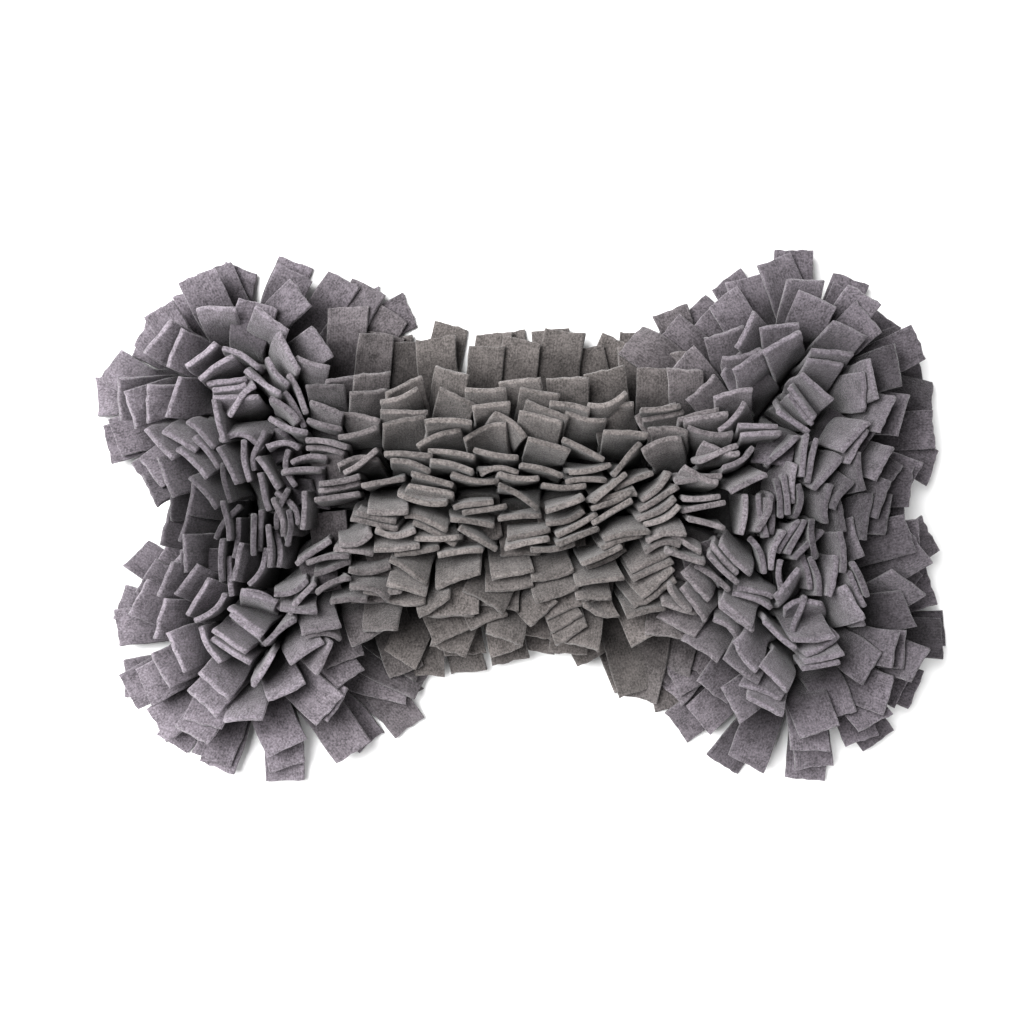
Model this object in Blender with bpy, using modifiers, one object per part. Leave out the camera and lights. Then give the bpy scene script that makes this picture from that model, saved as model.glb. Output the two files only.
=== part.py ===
"""Bone-shaped snuffle mat.

A flat base cloth carries rows of fleece band. Each band is slit into strips along both long edges,
folded up along its middle and sewn down there, so that it stands as a double comb of strips.
The rows run parallel to the outline of the bone. The rim strips lie over nearly flat, and each
row further in stands more upright. Metres, +Z up, origin under the middle of the mat.
"""

import math
import random

import bmesh
import bpy
from mathutils import Vector

# Base cloth: four round lobes, a neck beside each, a shallow hollow at each end.
BASE_THICKNESS = 0.003
LOBE_RADIUS = 0.046
NECK_RADIUS = 0.060
END_RADIUS = 0.091
WAIST_TOP = 0.066
WAIST_BOTTOM = -0.058
OUTLINE_STEP = 0.008
LOBES = (  # name, x, y, in the order that the outline passes them, anticlockwise
    ("top_left", -0.190, 0.080),
    ("bottom_left", -0.183, -0.083),
    ("bottom_right", 0.191, -0.082),
    ("top_right", 0.189, 0.077),
)

# Fleece band, and how it is sewn on.
FLEECE = 0.004
STRIP_WIDTH = 0.026
STRIP_LENGTH = 0.065
STRIP_SHARES = (0.18, 0.38, 0.44)  # of the strip's length, from the fold to the end
SLIT = 0.0012
FOLD_WIDTH = 0.006
SEAT_GAP = 0.0003
STRIPS_PER_BAND = 3
SEARCH_STEP = 0.001  # along a sewn line, when the strips are spaced out
SHORT_STRIP_ROOM = 0.02  # share of a pitch that a line may lack and still take one more strip

# Rows, from the rim inwards.
RIM_INSET = 0.004
ROW_SPACING = 0.0165

# Lean from upright in degrees: near the fold, half way up, at the end.
OUTER_LEAN = ((46, 84, 97), (24, 54, 68), (10, 30, 42), (3, 11, 18))
INNER_LEAN = ((32, 68, 83), (16, 42, 54), (6, 20, 30), (1, 3, 6))

# Where the outline is hollow the strips crowd together: they stand up, a little wider apart,
# and only every other strip of the rim leans out.
HOLLOW_SLIT = 0.0052
HOLLOW_LEAN = 0.08
NECK_RIM_LEAN = 0.30
END_RIM_LEAN = 0.46
LEAN_EASE = 0.036
ROW_LAG = 0.020

# On a lobe the strips fan out, the outer ones turned one way and the inner ones the other.
LOBE_SKEW = 12.0

# Unevenness of hand-cut, brushed fleece. Strips that stand crowded together sway less.
LENGTH_SPREAD = 0.0025
LEAN_SPREAD = 1.8
CROWDED_SWAY = 0.3

SEED = 5


def direction(angle):
    """Unit vector in the plane of the base."""
    return Vector((math.cos(angle), math.sin(angle)))


def heading(start, end):
    """Angle of the line from one point to another."""
    return math.atan2(end.y - start.y, end.x - start.x)


class Arc:
    """Round stretch of the outline. A lobe turns left as the outline is followed, a hollow right.

    rim_lean is given for a hollow: the share of the full lean that every other rim strip takes there.
    """

    def __init__(self, name, centre, radius, start, end, rim_lean=None):
        self.name = name
        self.centre = centre
        self.radius = radius
        self.rim_lean = rim_lean
        self.hollow = rim_lean is not None
        self.spreads = not self.hollow
        self.start = start
        full = 2 * math.pi
        self.turn = -((start - end) % full) if self.hollow else (end - start) % full

    def radius_at(self, inset):
        return self.radius + inset if self.hollow else self.radius - inset

    def length(self, inset=0.0):
        return abs(self.turn) * self.radius_at(inset)

    def at(self, share, inset):
        """Point and outward angle at a share of the stretch."""
        angle = self.start + self.turn * share
        outward = angle + math.pi if self.hollow else angle
        return self.centre + direction(angle) * self.radius_at(inset), outward

    def pitch(self, inset, slit):
        """Spacing of straight strips whose folds still clear each other on the inside of the turn."""
        radius = self.radius_at(inset)
        half_turn = math.atan((STRIP_WIDTH + slit) / 2 / (radius - (FOLD_WIDTH + FLEECE) / 2))
        return 2 * radius * half_turn


class Straight:
    """Straight edge of the waist."""

    hollow = False
    spreads = False
    rim_lean = None

    def __init__(self, name, start, end, outward):
        self.name = name
        self.start = start
        self.end = end
        self.outward = outward

    def length(self, inset=0.0):
        return (self.end - self.start).length

    def at(self, share, inset):
        point = self.start.lerp(self.end, share) - direction(self.outward) * inset
        return point, self.outward

    def pitch(self, inset, slit):
        return STRIP_WIDTH + slit


def neck_centre(lobe, waist):
    """Centre of the hollow arc that touches a lobe and an edge of the waist."""
    side = math.copysign(1.0, lobe.x)
    up = math.copysign(1.0, waist)
    height = waist + up * NECK_RADIUS
    reach = math.sqrt((LOBE_RADIUS + NECK_RADIUS) ** 2 - (height - lobe.y) ** 2)
    return Vector((lobe.x - side * reach, height))


def end_centre(upper, lower):
    """Centre of the hollow arc that touches both lobes of one end."""
    middle = (upper + lower) / 2
    half = (upper - lower).length / 2
    side = math.copysign(1.0, middle.x)
    across = Vector((abs(upper.y - lower.y), 0)).normalized() * side
    return middle + across * math.sqrt((LOBE_RADIUS + END_RADIUS) ** 2 - half**2)


def bone_outline():
    """The stretches of the outline by name, anticlockwise from the top edge of the waist."""
    lobe = {name: Vector((x, y)) for name, x, y in LOBES}
    left_end = end_centre(lobe["top_left"], lobe["bottom_left"])
    right_end = end_centre(lobe["top_right"], lobe["bottom_right"])
    neck = {}
    for name, centre in lobe.items():
        neck[name] = neck_centre(centre, WAIST_TOP if centre.y > 0 else WAIST_BOTTOM)
    up = math.pi / 2

    def waist(name, start, end, height, outward):
        return Straight(name, Vector((neck[start].x, height)), Vector((neck[end].x, height)), outward)

    def neck_arc(name, start, end):
        return Arc(name + "_neck", neck[name], NECK_RADIUS, start, end, NECK_RIM_LEAN)

    def lobe_arc(name, before, after):
        start = heading(lobe[name], before)
        end = heading(lobe[name], after)
        return Arc(name + "_lobe", lobe[name], LOBE_RADIUS, start, end)

    def end_arc(name, centre, before, after):
        start = heading(centre, lobe[before])
        end = heading(centre, lobe[after])
        return Arc(name, centre, END_RADIUS, start, end, END_RIM_LEAN)

    def to_lobe(name):
        return heading(neck[name], lobe[name])

    stretches = (
        waist("top", "top_right", "top_left", WAIST_TOP, up),
        neck_arc("top_left", -up, to_lobe("top_left")),
        lobe_arc("top_left", neck["top_left"], left_end),
        end_arc("left_end", left_end, "top_left", "bottom_left"),
        lobe_arc("bottom_left", left_end, neck["bottom_left"]),
        neck_arc("bottom_left", to_lobe("bottom_left"), up),
        waist("bottom", "bottom_left", "bottom_right", WAIST_BOTTOM, -up),
        neck_arc("bottom_right", up, to_lobe("bottom_right")),
        lobe_arc("bottom_right", neck["bottom_right"], right_end),
        end_arc("right_end", right_end, "bottom_right", "top_right"),
        lobe_arc("top_right", right_end, neck["top_right"]),
        neck_arc("top_right", to_lobe("top_right"), -up),
    )
    return {stretch.name: stretch for stretch in stretches}


OUTLINE = bone_outline()
LEFT_LOBE_SIDE = ("top_left_lobe", "left_end", "bottom_left_lobe")
RIGHT_LOBE_SIDE = ("bottom_right_lobe", "right_end", "top_right_lobe")
TOP_SIDE = ("top_right_neck", "top", "top_left_neck")
BOTTOM_SIDE = ("bottom_left_neck", "bottom", "bottom_right_neck")
WHOLE = TOP_SIDE + LEFT_LOBE_SIDE + BOTTOM_SIDE + RIGHT_LOBE_SIDE

# Sewn lines: name, row from the rim inwards, stretches, length left free at each end of the line.
SEWN_LINES = (
    ("rim", 0, WHOLE, 0.0),
    ("second", 1, WHOLE, 0.0),
    ("third_top", 2, TOP_SIDE, 0.016),
    ("third_left", 2, ("left_end",), 0.020),
    ("third_bottom", 2, BOTTOM_SIDE, 0.016),
    ("third_right", 2, ("right_end",), 0.020),
    ("middle_top", 3, TOP_SIDE, 0.078),
    ("middle_left", 3, ("left_end",), 0.052),
    ("middle_bottom", 3, BOTTOM_SIDE, 0.078),
    ("middle_right", 3, ("right_end",), 0.052),
)

# Short band in the middle of each lobe: the share of the lobe's arc that it faces, its row, its lean.
LOBE_TUFT_FACING = 0.5
LOBE_TUFT_ROW = 2
LOBE_TUFT_OPENNESS = 0.6


def ease(share):
    """Smooth step from 0 to 1."""
    share = min(max(share, 0.0), 1.0)
    return share * share * (3 - 2 * share)


def openness(stretch, share, row):
    """0 in a hollow of the outline, rising to 1 away from it, sooner on the rim than further in."""
    if stretch.hollow:
        return 0.0
    from_hollow = min(share, 1 - share) * stretch.length()
    return ease((from_hollow - row * ROW_LAG) / LEAN_EASE)


class Seat:
    """Place of one pair of strips on a sewn line."""

    def __init__(self, point, outward, open_share, rim_lean=None, skew=0.0):
        self.point = point
        self.outward = outward
        self.open_share = open_share
        self.rim_lean = rim_lean
        self.skew = skew


def seats_along(names, row, free_end):
    """Evenly spaced seats on a sewn line, wider apart where it is hollow."""
    inset = RIM_INSET + row * ROW_SPACING
    samples = []
    travelled = 0.0
    count = 0.0
    total = sum(OUTLINE[name].length(inset) for name in names)
    for name in names:
        stretch = OUTLINE[name]
        length = stretch.length(inset)
        steps = max(2, round(length / SEARCH_STEP))
        for step in range(steps):
            share = (step + 0.5) / steps
            slit = HOLLOW_SLIT + (SLIT - HOLLOW_SLIT) * openness(stretch, share, row)
            pitch = stretch.pitch(inset, slit)
            travelled += length / steps
            if free_end < travelled < total - free_end:
                count += length / steps / pitch
                samples.append((count, stretch, share))
    strips = max(1, math.floor(count + SHORT_STRIP_ROOM))
    seats = []
    wanted = 0.5
    for count_here, stretch, share in samples:
        if count_here * strips / count >= wanted:
            point, outward = stretch.at(share, inset)
            open_share = openness(stretch, share, row)
            skew = math.radians(LOBE_SKEW) * open_share if stretch.spreads else 0.0
            seats.append(Seat(point, outward, open_share, stretch.rim_lean, skew))
            wanted += 1.0
    return seats


def lean_of(table, row, open_share):
    """Lean of a strip in radians, for each of its three parts."""
    share = HOLLOW_LEAN + (1 - HOLLOW_LEAN) * open_share
    return [math.radians(lean * share) for lean in table[row]]


def strip_line(root, side, leans, length):
    """Outward and upward places of a strip's middle surface, from the fold to its end."""
    place = Vector((side * FOLD_WIDTH / 2, root))
    line = [place]
    for lean, share in zip(leans, STRIP_SHARES):
        place = place + Vector((math.sin(lean), math.cos(lean))) * length * share
        line.append(place)
    return line


def band_section(row, seat, place_in_row, draw):
    """Section of a folded band at one pair of strips, from the outer end to the inner end."""
    outer_lean = lean_of(OUTER_LEAN, row, seat.open_share)
    if row == 0 and seat.rim_lean and place_in_row % 2 == 0:
        outer_lean = [math.radians(lean * seat.rim_lean) for lean in OUTER_LEAN[0]]
    inner_lean = lean_of(INNER_LEAN, row, seat.open_share)
    sway = CROWDED_SWAY + (1 - CROWDED_SWAY) * seat.open_share
    shift = math.radians(draw.uniform(-LEAN_SPREAD, LEAN_SPREAD)) * sway
    outer_lean = [lean + shift for lean in outer_lean]
    inner_lean = [lean + shift for lean in inner_lean]
    root = BASE_THICKNESS + SEAT_GAP + FLEECE / 2
    outer_length = STRIP_LENGTH + draw.uniform(-LENGTH_SPREAD, LENGTH_SPREAD)
    inner_length = STRIP_LENGTH + draw.uniform(-LENGTH_SPREAD, LENGTH_SPREAD)
    outer = strip_line(root, 1, outer_lean, outer_length)
    inner = strip_line(root, -1, inner_lean, inner_length)
    return outer[::-1] + inner


def bend_strips(shape, columns, number, seat, section):
    """Moves one pair of strips of the flat grid, two columns of points, onto its section."""
    outward = direction(seat.outward)
    along = direction(seat.outward + math.pi / 2)
    for level, place in enumerate(section):
        side = 1 if level < len(section) / 2 else -1
        sideways = math.tan(side * seat.skew) * (place.x - side * FOLD_WIDTH / 2)
        for edge in (0, 1):
            across = (edge - 0.5) * STRIP_WIDTH + sideways
            spot = seat.point + outward * place.x + along * across
            vertex = shape.verts[level * columns + 2 * number + edge]
            vertex.co = (spot.x, spot.y, place.y)


def cut_slits(shape, columns):
    """Removes the faces between neighbouring strips, apart from those along the fold."""
    fold = len(STRIP_SHARES)
    slits = []
    for face in shape.faces:
        numbers = [vertex.index for vertex in face.verts]
        column = min(number % columns for number in numbers)
        level = min(number // columns for number in numbers)
        if column % 2 == 1 and level != fold:
            slits.append(face)
    bmesh.ops.delete(shape, geom=slits, context="FACES")


def make_band(name, row, seats, first_place, collection, material, draw):
    """A length of slit band, folded up: a grid bent to its sections, slit, then thickened."""
    rows = 2 * len(STRIP_SHARES) + 2
    columns = 2 * len(seats)
    shape = bmesh.new()
    bmesh.ops.create_grid(shape, x_segments=columns - 1, y_segments=rows - 1, size=0.5)
    shape.verts.ensure_lookup_table()
    shape.verts.index_update()
    for number, seat in enumerate(seats):
        section = band_section(row, seat, first_place + number, draw)
        bend_strips(shape, columns, number, seat, section)
    cut_slits(shape, columns)
    bmesh.ops.recalc_face_normals(shape, faces=shape.faces)
    mesh = bpy.data.meshes.new(name)
    shape.to_mesh(mesh)
    shape.free()
    mesh.materials.append(material)
    band = bpy.data.objects.new(name, mesh)
    collection.objects.link(band)
    solid = band.modifiers.new("thickness", "SOLIDIFY")
    solid.thickness = FLEECE
    solid.solidify_mode = "NON_MANIFOLD"
    solid.nonmanifold_thickness_mode = "CONSTRAINTS"
    solid.offset = 0.0


def outline_points():
    """Corner points of the base cloth, close enough together for its arcs to look round."""
    points = []
    for stretch in OUTLINE.values():
        steps = max(1, round(stretch.length() / OUTLINE_STEP))
        steps = steps if isinstance(stretch, Arc) else 1
        points += [stretch.at(step / steps, 0.0)[0] for step in range(steps)]
    return points


def make_base(collection, material):
    """The base cloth: the filled outline, as thick as the cloth, flat on the floor."""
    points = outline_points()
    curve = bpy.data.curves.new("base_cloth", "CURVE")
    curve.dimensions = "2D"
    curve.fill_mode = "BOTH"
    curve.extrude = BASE_THICKNESS / 2
    edge = curve.splines.new("POLY")
    edge.points.add(len(points) - 1)
    for spot, point in zip(edge.points, points):
        spot.co = (point.x, point.y, 0.0, 1.0)
    edge.use_cyclic_u = True
    curve.materials.append(material)
    base = bpy.data.objects.new("base_cloth", curve)
    base.location.z = BASE_THICKNESS / 2
    collection.objects.link(base)


def cloth_material(name, colour, roughness):
    """Matt cloth of one colour."""
    material = bpy.data.materials.new(name)
    material.use_nodes = True
    shader = material.node_tree.nodes["Principled BSDF"]
    shader.inputs["Base Color"].default_value = (*colour, 1.0)
    shader.inputs["Roughness"].default_value = roughness
    shader.inputs["Metallic"].default_value = 0.0
    return material


def make_bands(collection, material, draw):
    """Every sewn line, cut into short bands of a few strips."""
    for name, row, names, free_end in SEWN_LINES:
        seats = seats_along(names, row, free_end)
        bands = math.ceil(len(seats) / STRIPS_PER_BAND)
        cuts = [round(cut * len(seats) / bands) for cut in range(bands + 1)]
        for number, (first, last) in enumerate(zip(cuts, cuts[1:]), 1):
            band_name = f"{name}_band_{number:02d}"
            make_band(band_name, row, seats[first:last], first, collection, material, draw)


def make_lobe_tufts(collection, material, draw):
    """One pair of strips in the middle of each lobe, facing out."""
    for name, _x, _y in LOBES:
        arc = OUTLINE[name + "_lobe"]
        _point, outward = arc.at(LOBE_TUFT_FACING, 0.0)
        seat = Seat(arc.centre, outward, LOBE_TUFT_OPENNESS)
        make_band(f"{name}_tuft", LOBE_TUFT_ROW, [seat], 0, collection, material, draw)


def build():
    for leftover in list(bpy.data.objects):
        bpy.data.objects.remove(leftover, do_unlink=True)
    mat_parts = bpy.data.collections.new("snuffle_mat")
    bpy.context.scene.collection.children.link(mat_parts)
    draw = random.Random(SEED)
    make_base(mat_parts, cloth_material("base_felt", (0.10, 0.10, 0.10), 0.95))
    fleece = cloth_material("grey_fleece", (0.16, 0.15, 0.16), 0.95)
    make_bands(mat_parts, fleece, draw)
    make_lobe_tufts(mat_parts, fleece, draw)


build()
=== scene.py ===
import math

import bmesh
import bpy
import numpy as np
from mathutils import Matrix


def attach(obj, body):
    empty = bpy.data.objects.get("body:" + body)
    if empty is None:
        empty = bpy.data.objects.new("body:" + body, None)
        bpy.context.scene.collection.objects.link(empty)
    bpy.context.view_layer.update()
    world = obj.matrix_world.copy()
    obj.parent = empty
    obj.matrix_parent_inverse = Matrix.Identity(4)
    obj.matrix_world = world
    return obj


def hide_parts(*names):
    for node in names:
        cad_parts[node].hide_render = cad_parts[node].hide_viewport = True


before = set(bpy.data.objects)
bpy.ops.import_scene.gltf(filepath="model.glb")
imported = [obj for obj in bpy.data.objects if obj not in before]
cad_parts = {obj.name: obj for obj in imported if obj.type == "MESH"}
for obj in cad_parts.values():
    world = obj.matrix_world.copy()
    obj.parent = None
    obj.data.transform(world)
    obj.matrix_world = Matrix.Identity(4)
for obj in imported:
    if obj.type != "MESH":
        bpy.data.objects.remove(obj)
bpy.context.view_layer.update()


# Base cloth. One flat piece of grey felt, cut to the shape of a bone from sheet about 3 mm thick.
# Every band of the fringe is sewn down on it. Its edge is left as cut, and its underside is plain.
BASE_THICKNESS = 0.003
BASE_EDGE_ROUND = 0.0006
OUTLINE_STEP = 0.004
LOBE_RADIUS = 0.046
NECK_RADIUS = 0.060
END_RADIUS = 0.091
WAIST_TOP = 0.066
WAIST_BOTTOM = -0.058
MERGE_GAP = 0.00001  # points of the mesh closer than this are one
LOBES = (  # name, x, y, in the order that the outline passes them, anticlockwise
    ("top_left", -0.190, 0.080),
    ("bottom_left", -0.183, -0.083),
    ("bottom_right", 0.191, -0.082),
    ("top_right", 0.189, 0.077),
)


def direction(angle):
    """Unit vector in the plane of the base."""
    return np.array((math.cos(angle), math.sin(angle)))


def heading(start, end):
    """Angle of the line from one point to another."""
    return math.atan2(end[1] - start[1], end[0] - start[0])


class Arc:
    """Round stretch of the outline. A lobe turns left as the outline is followed, a hollow right."""

    def __init__(self, centre, radius, start, end, hollow):
        self.centre = centre
        self.radius = radius
        self.start = start
        self.hollow = hollow
        self.lobe = not hollow
        full = 2 * math.pi
        self.turn = -((start - end) % full) if hollow else (end - start) % full

    def radius_at(self, inset):
        return self.radius + inset if self.hollow else self.radius - inset

    def length(self):
        return abs(self.turn) * self.radius

    def at(self, share, inset):
        """Point and outward angle at a share of the stretch."""
        angle = self.start + self.turn * share
        outward = angle + math.pi if self.hollow else angle
        return self.centre + direction(angle) * self.radius_at(inset), outward


class Straight:
    """Straight edge of the waist."""

    hollow = False
    lobe = False

    def __init__(self, start, end, outward):
        self.start = start
        self.end = end
        self.outward = outward

    def radius_at(self, inset):
        return math.inf

    def length(self):
        return float(np.linalg.norm(self.end - self.start))

    def at(self, share, inset):
        point = self.start + (self.end - self.start) * share
        return point - direction(self.outward) * inset, self.outward


def neck_centre(lobe, waist):
    """Centre of the hollow arc that touches a lobe and an edge of the waist."""
    side = math.copysign(1.0, lobe[0])
    up = math.copysign(1.0, waist)
    height = waist + up * NECK_RADIUS
    reach = math.sqrt((LOBE_RADIUS + NECK_RADIUS) ** 2 - (height - lobe[1]) ** 2)
    return np.array((lobe[0] - side * reach, height))


def end_centre(upper, lower):
    """Centre of the hollow arc that touches both lobes of one end."""
    middle = (upper + lower) / 2
    half = float(np.linalg.norm(upper - lower)) / 2
    side = math.copysign(1.0, middle[0])
    reach = math.sqrt((LOBE_RADIUS + END_RADIUS) ** 2 - half**2)
    return middle + np.array((side * reach, 0.0))


def bone_outline():
    """The stretches of the outline by name, anticlockwise from the top edge of the waist."""
    lobe = {name: np.array((x, y)) for name, x, y in LOBES}
    left = end_centre(lobe["top_left"], lobe["bottom_left"])
    right = end_centre(lobe["top_right"], lobe["bottom_right"])
    neck = {}
    for name, centre in lobe.items():
        neck[name] = neck_centre(centre, WAIST_TOP if centre[1] > 0 else WAIST_BOTTOM)
    up = math.pi / 2

    def waist(start, end, height, outward):
        first = np.array((neck[start][0], height))
        last = np.array((neck[end][0], height))
        return Straight(first, last, outward)

    def neck_arc(name, start, end):
        return Arc(neck[name], NECK_RADIUS, start, end, True)

    def lobe_arc(name, before, after):
        start = heading(lobe[name], before)
        return Arc(lobe[name], LOBE_RADIUS, start, heading(lobe[name], after), False)

    def end_arc(centre, before, after):
        start = heading(centre, lobe[before])
        return Arc(centre, END_RADIUS, start, heading(centre, lobe[after]), True)

    def to_lobe(name):
        return heading(neck[name], lobe[name])

    return {
        "top": waist("top_right", "top_left", WAIST_TOP, up),
        "top_left_neck": neck_arc("top_left", -up, to_lobe("top_left")),
        "top_left_lobe": lobe_arc("top_left", neck["top_left"], left),
        "left_end": end_arc(left, "top_left", "bottom_left"),
        "bottom_left_lobe": lobe_arc("bottom_left", left, neck["bottom_left"]),
        "bottom_left_neck": neck_arc("bottom_left", to_lobe("bottom_left"), up),
        "bottom": waist("bottom_left", "bottom_right", WAIST_BOTTOM, -up),
        "bottom_right_neck": neck_arc("bottom_right", up, to_lobe("bottom_right")),
        "bottom_right_lobe": lobe_arc("bottom_right", neck["bottom_right"], right),
        "right_end": end_arc(right, "bottom_right", "top_right"),
        "top_right_lobe": lobe_arc("top_right", right, neck["top_right"]),
        "top_right_neck": neck_arc("top_right", to_lobe("top_right"), -up),
    }


def felt_material():
    """Dense needled felt: flat grey, with short fibres a little lighter and darker."""
    material = bpy.data.materials.new("base_felt")
    material.use_nodes = True
    tree = material.node_tree
    shader = tree.nodes["Principled BSDF"]
    shader.inputs["Roughness"].default_value = 0.95
    shader.inputs["Specular IOR Level"].default_value = 0.2
    shader.inputs["Sheen Weight"].default_value = 0.15
    shader.inputs["Sheen Roughness"].default_value = 0.6
    place = tree.nodes.new("ShaderNodeTexCoord")
    fibres = tree.nodes.new("ShaderNodeTexNoise")
    fibres.inputs["Scale"].default_value = 900.0
    fibres.inputs["Detail"].default_value = 3.0
    tree.links.new(place.outputs["Object"], fibres.inputs["Vector"])
    tint = tree.nodes.new("ShaderNodeValToRGB")
    tint.color_ramp.elements[0].position = 0.3
    tint.color_ramp.elements[0].color = (0.060, 0.058, 0.060, 1.0)
    tint.color_ramp.elements[1].position = 0.7
    tint.color_ramp.elements[1].color = (0.115, 0.112, 0.115, 1.0)
    tree.links.new(fibres.outputs["Fac"], tint.inputs["Fac"])
    tree.links.new(tint.outputs["Color"], shader.inputs["Base Color"])
    bump = tree.nodes.new("ShaderNodeBump")
    bump.inputs["Strength"].default_value = 0.5
    bump.inputs["Distance"].default_value = 0.0004
    tree.links.new(fibres.outputs["Fac"], bump.inputs["Height"])
    tree.links.new(bump.outputs["Normal"], shader.inputs["Normal"])
    return material


OUTLINE = bone_outline()
outline_points = []
for stretch in OUTLINE.values():
    steps = max(1, round(stretch.length() / OUTLINE_STEP))
    outline_points += [stretch.at(step / steps, 0.0)[0] for step in range(steps)]
base_curve = bpy.data.curves.new("base_cloth_felt", "CURVE")
base_curve.dimensions = "2D"
base_curve.fill_mode = "BOTH"
base_curve.extrude = BASE_THICKNESS / 2 - BASE_EDGE_ROUND
base_curve.bevel_depth = BASE_EDGE_ROUND
base_curve.bevel_resolution = 2
base_curve.offset = -BASE_EDGE_ROUND
edge_line = base_curve.splines.new("POLY")
edge_line.points.add(len(outline_points) - 1)
for spot, point in zip(edge_line.points, outline_points):
    spot.co = (point[0], point[1], 0.0, 1.0)
edge_line.use_cyclic_u = True
base_guide = bpy.data.objects.new("base_guide", base_curve)
base_mesh = bpy.data.meshes.new_from_object(base_guide)
bpy.data.objects.remove(base_guide)
base_shape = bmesh.new()
base_shape.from_mesh(base_mesh)
bmesh.ops.remove_doubles(base_shape, verts=base_shape.verts, dist=MERGE_GAP)
bmesh.ops.translate(base_shape, verts=base_shape.verts, vec=(0, 0, BASE_THICKNESS / 2))
bmesh.ops.recalc_face_normals(base_shape, faces=base_shape.faces)
base_shape.to_mesh(base_mesh)
base_area = sum(face.calc_area() for face in base_shape.faces if face.normal.z > 0.9)
base_shape.free()
base_mesh.materials.clear()
base_mesh.materials.append(felt_material())
base_mesh.name = "base_cloth_felt"
base_cloth = bpy.data.objects.new("base_cloth_felt", base_mesh)
bpy.context.scene.collection.objects.link(base_cloth)
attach(base_cloth, "root")
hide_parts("base_cloth")


# Rim bands. Grey fleece band, slit into strips along both long edges and folded up along its middle.
# The fold is sewn down along the edge of the base, and the strips flop outwards over it to the floor.
FLEECE = 0.0038
FLEECE_DARK = (0.068, 0.061, 0.068, 1.0)
FLEECE_LIGHT = (0.215, 0.193, 0.217, 1.0)
CUT_EDGE_ROUND = 0.0011
ROUNDED_FROM = 2  # points up from the fold, where the rounding of the cut edges starts
STRIP_WIDTH = 0.0265
STRIP_LENGTH = 0.064
FOLD_WIDTH = 0.0057
FOLD_HEIGHT = 0.005
ACROSS = 8  # points across a strip
ALONG = 18  # points from its fold to its end
SAMPLES = 200  # places tried on each stretch of a sewn line
RIM_INSETS = (0.004, 0.006)  # of the sewn line from the cut edge: off and on a lobe
RIM_PITCHES = (0.0265, 0.0190, 0.0240)  # from strip to strip: straight, on a lobe, in a hollow
INSET_EASE = 0.040  # length of a lobe's outline over which the inset changes
TIGHTEST_FOLD = 0.002  # smallest radius that a band is sewn round
LOBE_SHINGLE = 13  # degrees that the strips on a lobe are turned, each a little over the next
SHINGLE_EASE = 0.030
FOLD_WOBBLE = 4  # degrees
TOP_SIDE = ("top_right_neck", "top", "top_left_neck")
LEFT_SIDE = ("top_left_lobe", "left_end", "bottom_left_lobe")
BOTTOM_SIDE = ("bottom_left_neck", "bottom", "bottom_right_neck")
RIGHT_SIDE = ("bottom_right_lobe", "right_end", "top_right_lobe")
WHOLE = TOP_SIDE + LEFT_SIDE + BOTTOM_SIDE + RIGHT_SIDE
KINDS = ("top", "lobe", "neck", "end", "bottom")  # of the stretches of the outline
NECK_TURN = 0.45  # how far the strips in a neck turn from the hollow's own normal to the mat's Y
WAIST_WIDER = 0.003
RIM_SHORTER = 0.003
RIM_PLACES = (  # where the rim strips differ: x, y, reach, longer by, degrees further over, turned by
    (-0.215, 0.125, 0.042, -0.024, 0, 0),
    (-0.134, 0.092, 0.034, 0.030, 12, 10),
    (-0.197, 0.000, 0.034, -0.004, -5, 0),
    (-0.235, 0.091, 0.009, 0.012, 0, 0),
    (-0.229, 0.104, 0.009, -0.008, 0, 0),
    (-0.224, -0.042, 0.020, -0.027, 0, 0),
    (-0.230, -0.076, 0.016, 0.007, 0, 0),
    (-0.212, -0.115, 0.032, -0.007, 0, 0),
    (-0.173, -0.128, 0.016, 0.001, 0, 0),
    (-0.152, -0.119, 0.018, 0.012, 0, 0),
    (-0.120, -0.082, 0.032, 0.034, 16, 32),
    (0.015, -0.056, 0.034, -0.017, -24, 0),
    (0.086, -0.058, 0.032, 0.034, 34, 0),
    (0.122, -0.068, 0.016, -0.014, 0, 0),
    (0.172, -0.124, 0.013, 0.007, 0, 0),
    (0.210, -0.124, 0.012, 0.002, 0, 0),
    (0.223, -0.114, 0.014, -0.036, -44, 0),
    (0.235, -0.098, 0.012, 0.022, 0, 0),
    (0.238, -0.078, 0.014, -0.016, 0, 0),
    (0.224, -0.036, 0.020, 0.024, 26, 0),
    (0.202, 0.004, 0.032, 0.002, 4, 0),
    (0.236, 0.074, 0.022, 0.006, 0, 0),
    (0.224, 0.110, 0.022, -0.026, 0, 0),
    (0.204, 0.121, 0.012, 0.013, 0, 0),
    (0.162, 0.116, 0.022, -0.012, 0, 0),
    (0.126, 0.075, 0.018, 0.022, 8, 16),
    (0.082, 0.067, 0.024, -0.006, 0, 0),
)
STANDING_PLACES = (  # where the inner rows stand more upright: x, y, reach, share of the lean taken off
    (-0.160, 0.070, 0.034, 0.65),
    (-0.190, 0.000, 0.045, 0.60),
    (0.130, 0.000, 0.045, 0.50),
    (-0.110, -0.040, 0.024, 0.50),
)
TURNED_PLACES = (  # where the strips stand turned together: x, y, reach, degrees
    (0.068, 0.000, 0.042, 44),
    (0.125, -0.028, 0.032, -48),
    (-0.060, 0.012, 0.030, -14),
    (0.020, 0.030, 0.030, -12),
    (-0.120, 0.020, 0.030, 24),
    (-0.165, 0.070, 0.022, -30),
)
STRIP_SHARES = (0.0, 0.12, 0.40, 0.80, 1.0)  # of its length, where its lean is given
LENGTH_SPREAD = 0.0032  # from strip to strip, as the three below
WIDTH_SPREAD = 0.0014
CURL_SPREAD = 0.0008
TWIST_SPREAD = 12  # degrees
SWAY_SHARES = np.array((0.4, 0.8, 1.2))  # of a strip's own sway near its fold, half way up and at its end
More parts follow.
